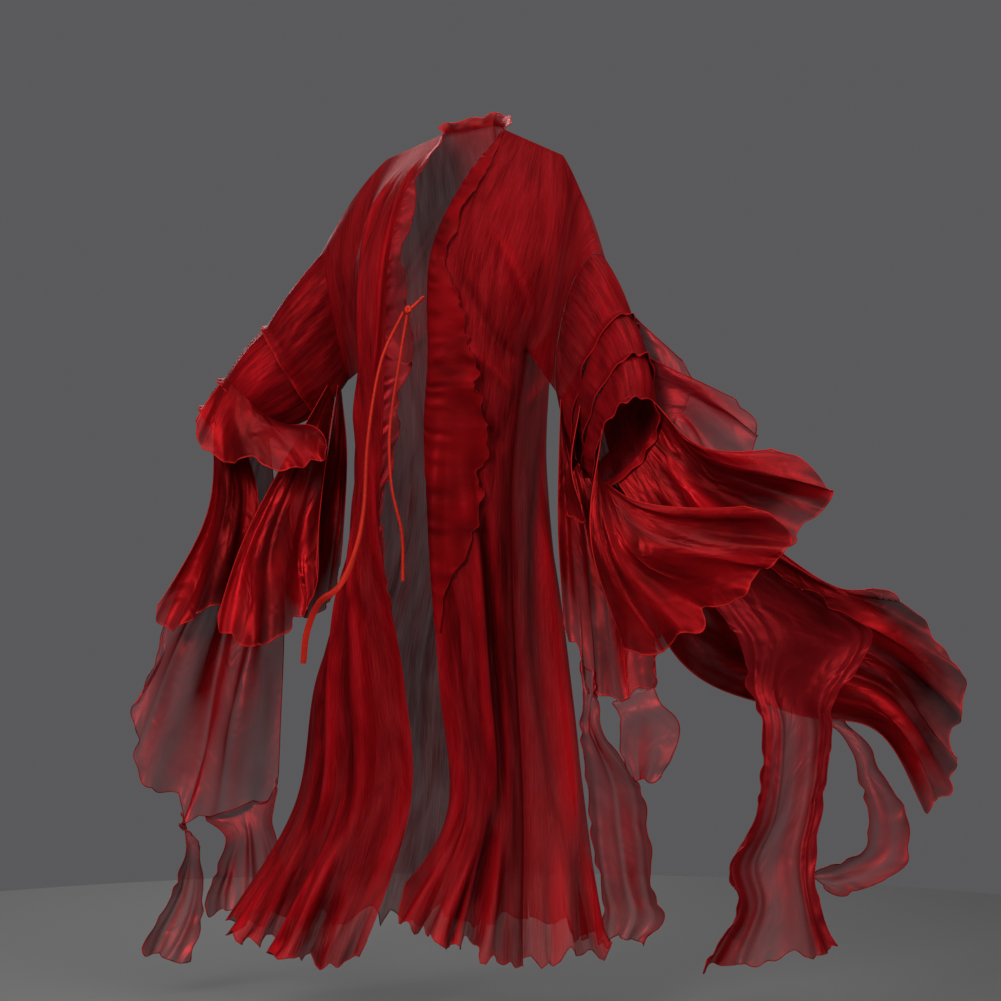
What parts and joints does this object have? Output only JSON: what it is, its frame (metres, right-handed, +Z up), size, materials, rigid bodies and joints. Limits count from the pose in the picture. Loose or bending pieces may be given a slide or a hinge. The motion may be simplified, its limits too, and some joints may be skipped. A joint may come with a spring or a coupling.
{
  "type": "hanfu robe",
  "caption": "Sheer open-front outer robe with tiered sleeves, long ruffled flounces and a ribbon tie, worn and blown sideways by a wind.",
  "frame": {"origin": "between the shoulders at the base of the neck, where the wearer carries the robe", "axes": "+Z up, front -Y, the wearer's left +X"},
  "size_m": [1.3199, 0.6286, 1.4565],
  "materials": {
    "red_chiffon": "sheer crinkled weave",
    "red_organza": "sheer satin weave",
    "orange_ribbon": "satin"
  },
  "bodies": {
    "root": {"front_left": "red_chiffon", "front_right": "red_chiffon", "back_left": "red_chiffon", "back_right": "red_chiffon", "front_frill_left": "red_organza", "front_frill_right": "red_organza", "neck_ruffle": "red_organza", "sleeve_left_tier_1": "red_chiffon", "sleeve_left_tier_2": "red_chiffon", "sleeve_left_tier_3": "red_chiffon", "sleeve_right_tier_1": "red_chiffon", "sleeve_right_tier_2": "red_chiffon", "sleeve_right_tier_3": "red_chiffon", "flounce_left_elbow": "red_organza", "flounce_left_forearm": "red_organza", "flounce_left_cuff": "red_organza", "flounce_left_cuff_near": "red_organza", "flounce_left_inner": "red_organza", "flounce_left_under": "red_organza", "wing_left": "red_organza", "flounce_right_forearm": "red_organza", "flounce_right_cuff": "red_organza", "flounce_right_inner": "red_organza", "flounce_right_under": "red_organza", "wing_right": "red_organza", "streamer_left": "red_organza", "streamer_wing": "red_organza", "streamer_left_inner": "red_organza", "petal_left": "red_organza", "streamer_right": "red_organza", "streamer_right_inner": "red_organza", "tie_across": "orange_ribbon", "tie_knot": "orange_ribbon", "tie_short_end": "orange_ribbon", "tie_long_end": "orange_ribbon"}
  },
  "joints": []
}
